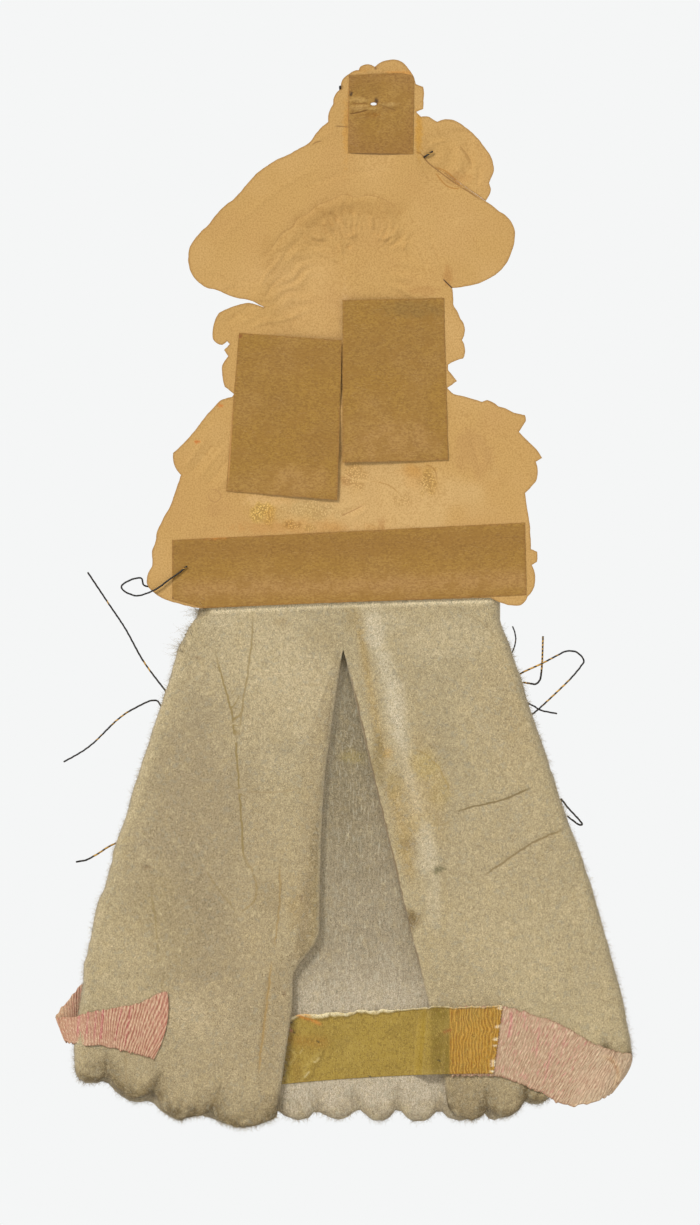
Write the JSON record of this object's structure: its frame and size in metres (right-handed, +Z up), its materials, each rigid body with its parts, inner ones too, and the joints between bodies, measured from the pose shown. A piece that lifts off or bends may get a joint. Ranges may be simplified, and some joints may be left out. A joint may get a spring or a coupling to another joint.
{
  "type": "paper doll",
  "caption": "Hanging paper doll: an embossed die-cut card bust in a wide hat above a folded cotton batting skirt with crepe band and tinsel wires.",
  "frame": {"origin": "centre of the hanging hole in the hat, on the card's back face", "axes": "+X across the doll to the right as its plain back is seen, +Y from the plain back to the printed front, +Z up"},
  "size_m": [0.1624, 0.0084, 0.2987],
  "materials": {
    "card": "raw tan pulp board, matt",
    "kraft": "brown kraft paper, matt with faint fibres",
    "cotton": "aged cotton batting, fuzzy and yellowed",
    "crepe": "faded pink crepe paper, finely crinkled",
    "tape": "yellowed clear cellulose tape, glossy",
    "tinsel": "tarnished tinsel wire with gold flecks"
  },
  "bodies": {
    "bust": {"card_figure": "card", "top_patch": "kraft", "left_patch": "kraft", "right_patch": "kraft", "waist_strip": "kraft", "waist_tab": "cotton", "hat_wire": "tinsel", "waist_wire": "tinsel"},
    "skirt": {"cotton_skirt": "cotton", "crepe_band": "crepe", "tape_strip": "tape", "tinsel_wire_1": "tinsel", "tinsel_wire_2": "tinsel", "tinsel_wire_3": "tinsel", "tinsel_wire_4": "tinsel", "tinsel_wire_5": "tinsel"},
    "flap": {"left_flap": "cotton"}
  },
  "joints": [
    {"name": "skirt_swing", "type": "hinge", "parent": "bust", "child": "skirt", "pos_m": [-0.0082, 0.00325, -0.1445], "axis": [1, 0, 0], "range_deg": [-60, 60]},
    {"name": "flap_lift", "type": "hinge", "parent": "skirt", "child": "flap", "pos_m": [-0.0091, 0.00075, -0.1529], "axis": [-0.3802, 0, -0.9249], "range_deg": [0, 75]}
  ]
}
